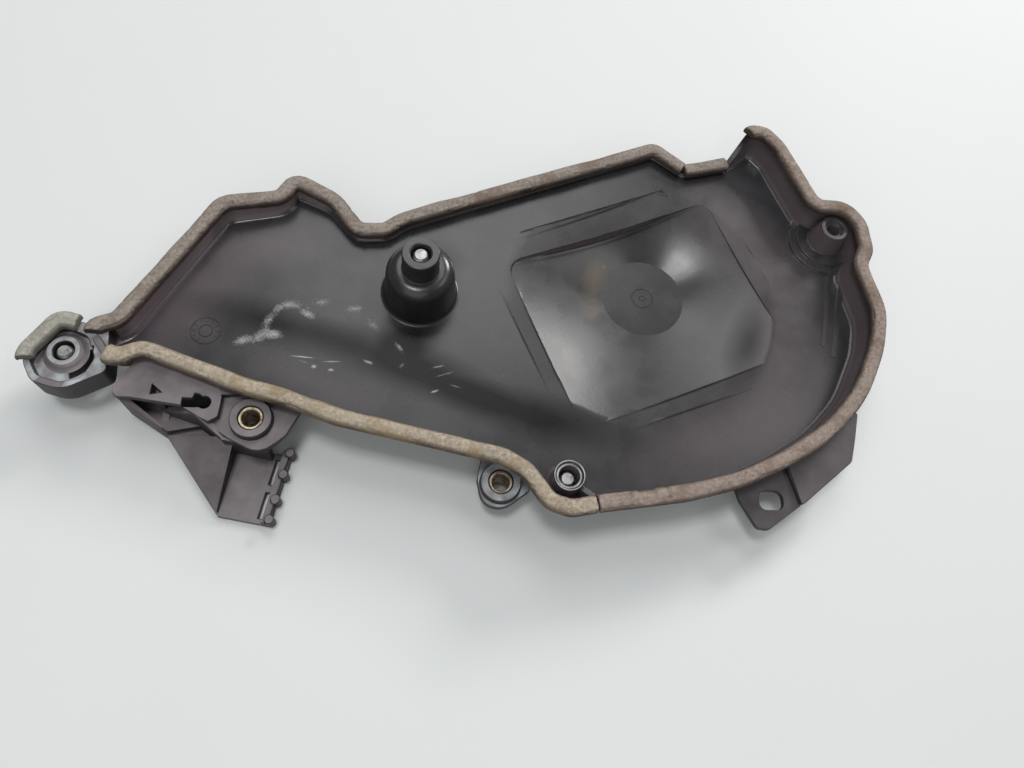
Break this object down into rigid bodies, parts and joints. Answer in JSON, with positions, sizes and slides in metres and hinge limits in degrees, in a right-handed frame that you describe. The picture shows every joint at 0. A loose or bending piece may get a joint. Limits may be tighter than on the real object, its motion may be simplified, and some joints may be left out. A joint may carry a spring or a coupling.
{
  "type": "timing belt cover",
  "caption": "Moulded timing belt cover: a shallow sealed tray with a stepped funnel, bolt tower, captive bolts, sleeved lugs, a harness bracket and a slotted tab.",
  "frame": {"origin": "axis of the bracket's sleeve, at the sleeve's engine-side end", "axes": "+X along the cover's length from the ear to the wide end, +Y towards the long upper edge, +Z along the fixing bores towards the engine, so the tray's open side is up"},
  "size_m": [0.333, 0.1818, 0.0445],
  "materials": {
    "shell": "moulded, worn satin",
    "foam_grey": "soft closed-cell foam",
    "foam_brown": "soft closed-cell foam",
    "foam_tan": "soft closed-cell foam",
    "sleeve": "yellow passivated",
    "bolt": "zinc plated"
  },
  "bodies": {
    "root": {"cover_shell": "shell", "seal_top": "foam_grey", "seal_notch": "foam_grey", "seal_right": "foam_brown", "seal_lower": "foam_tan", "seal_ear": "foam_grey", "sleeve_bracket": "sleeve", "sleeve_lug": "sleeve", "bolt_tower": "bolt", "bolt_ear": "bolt", "bolt_boss": "bolt"}
  },
  "joints": []
}
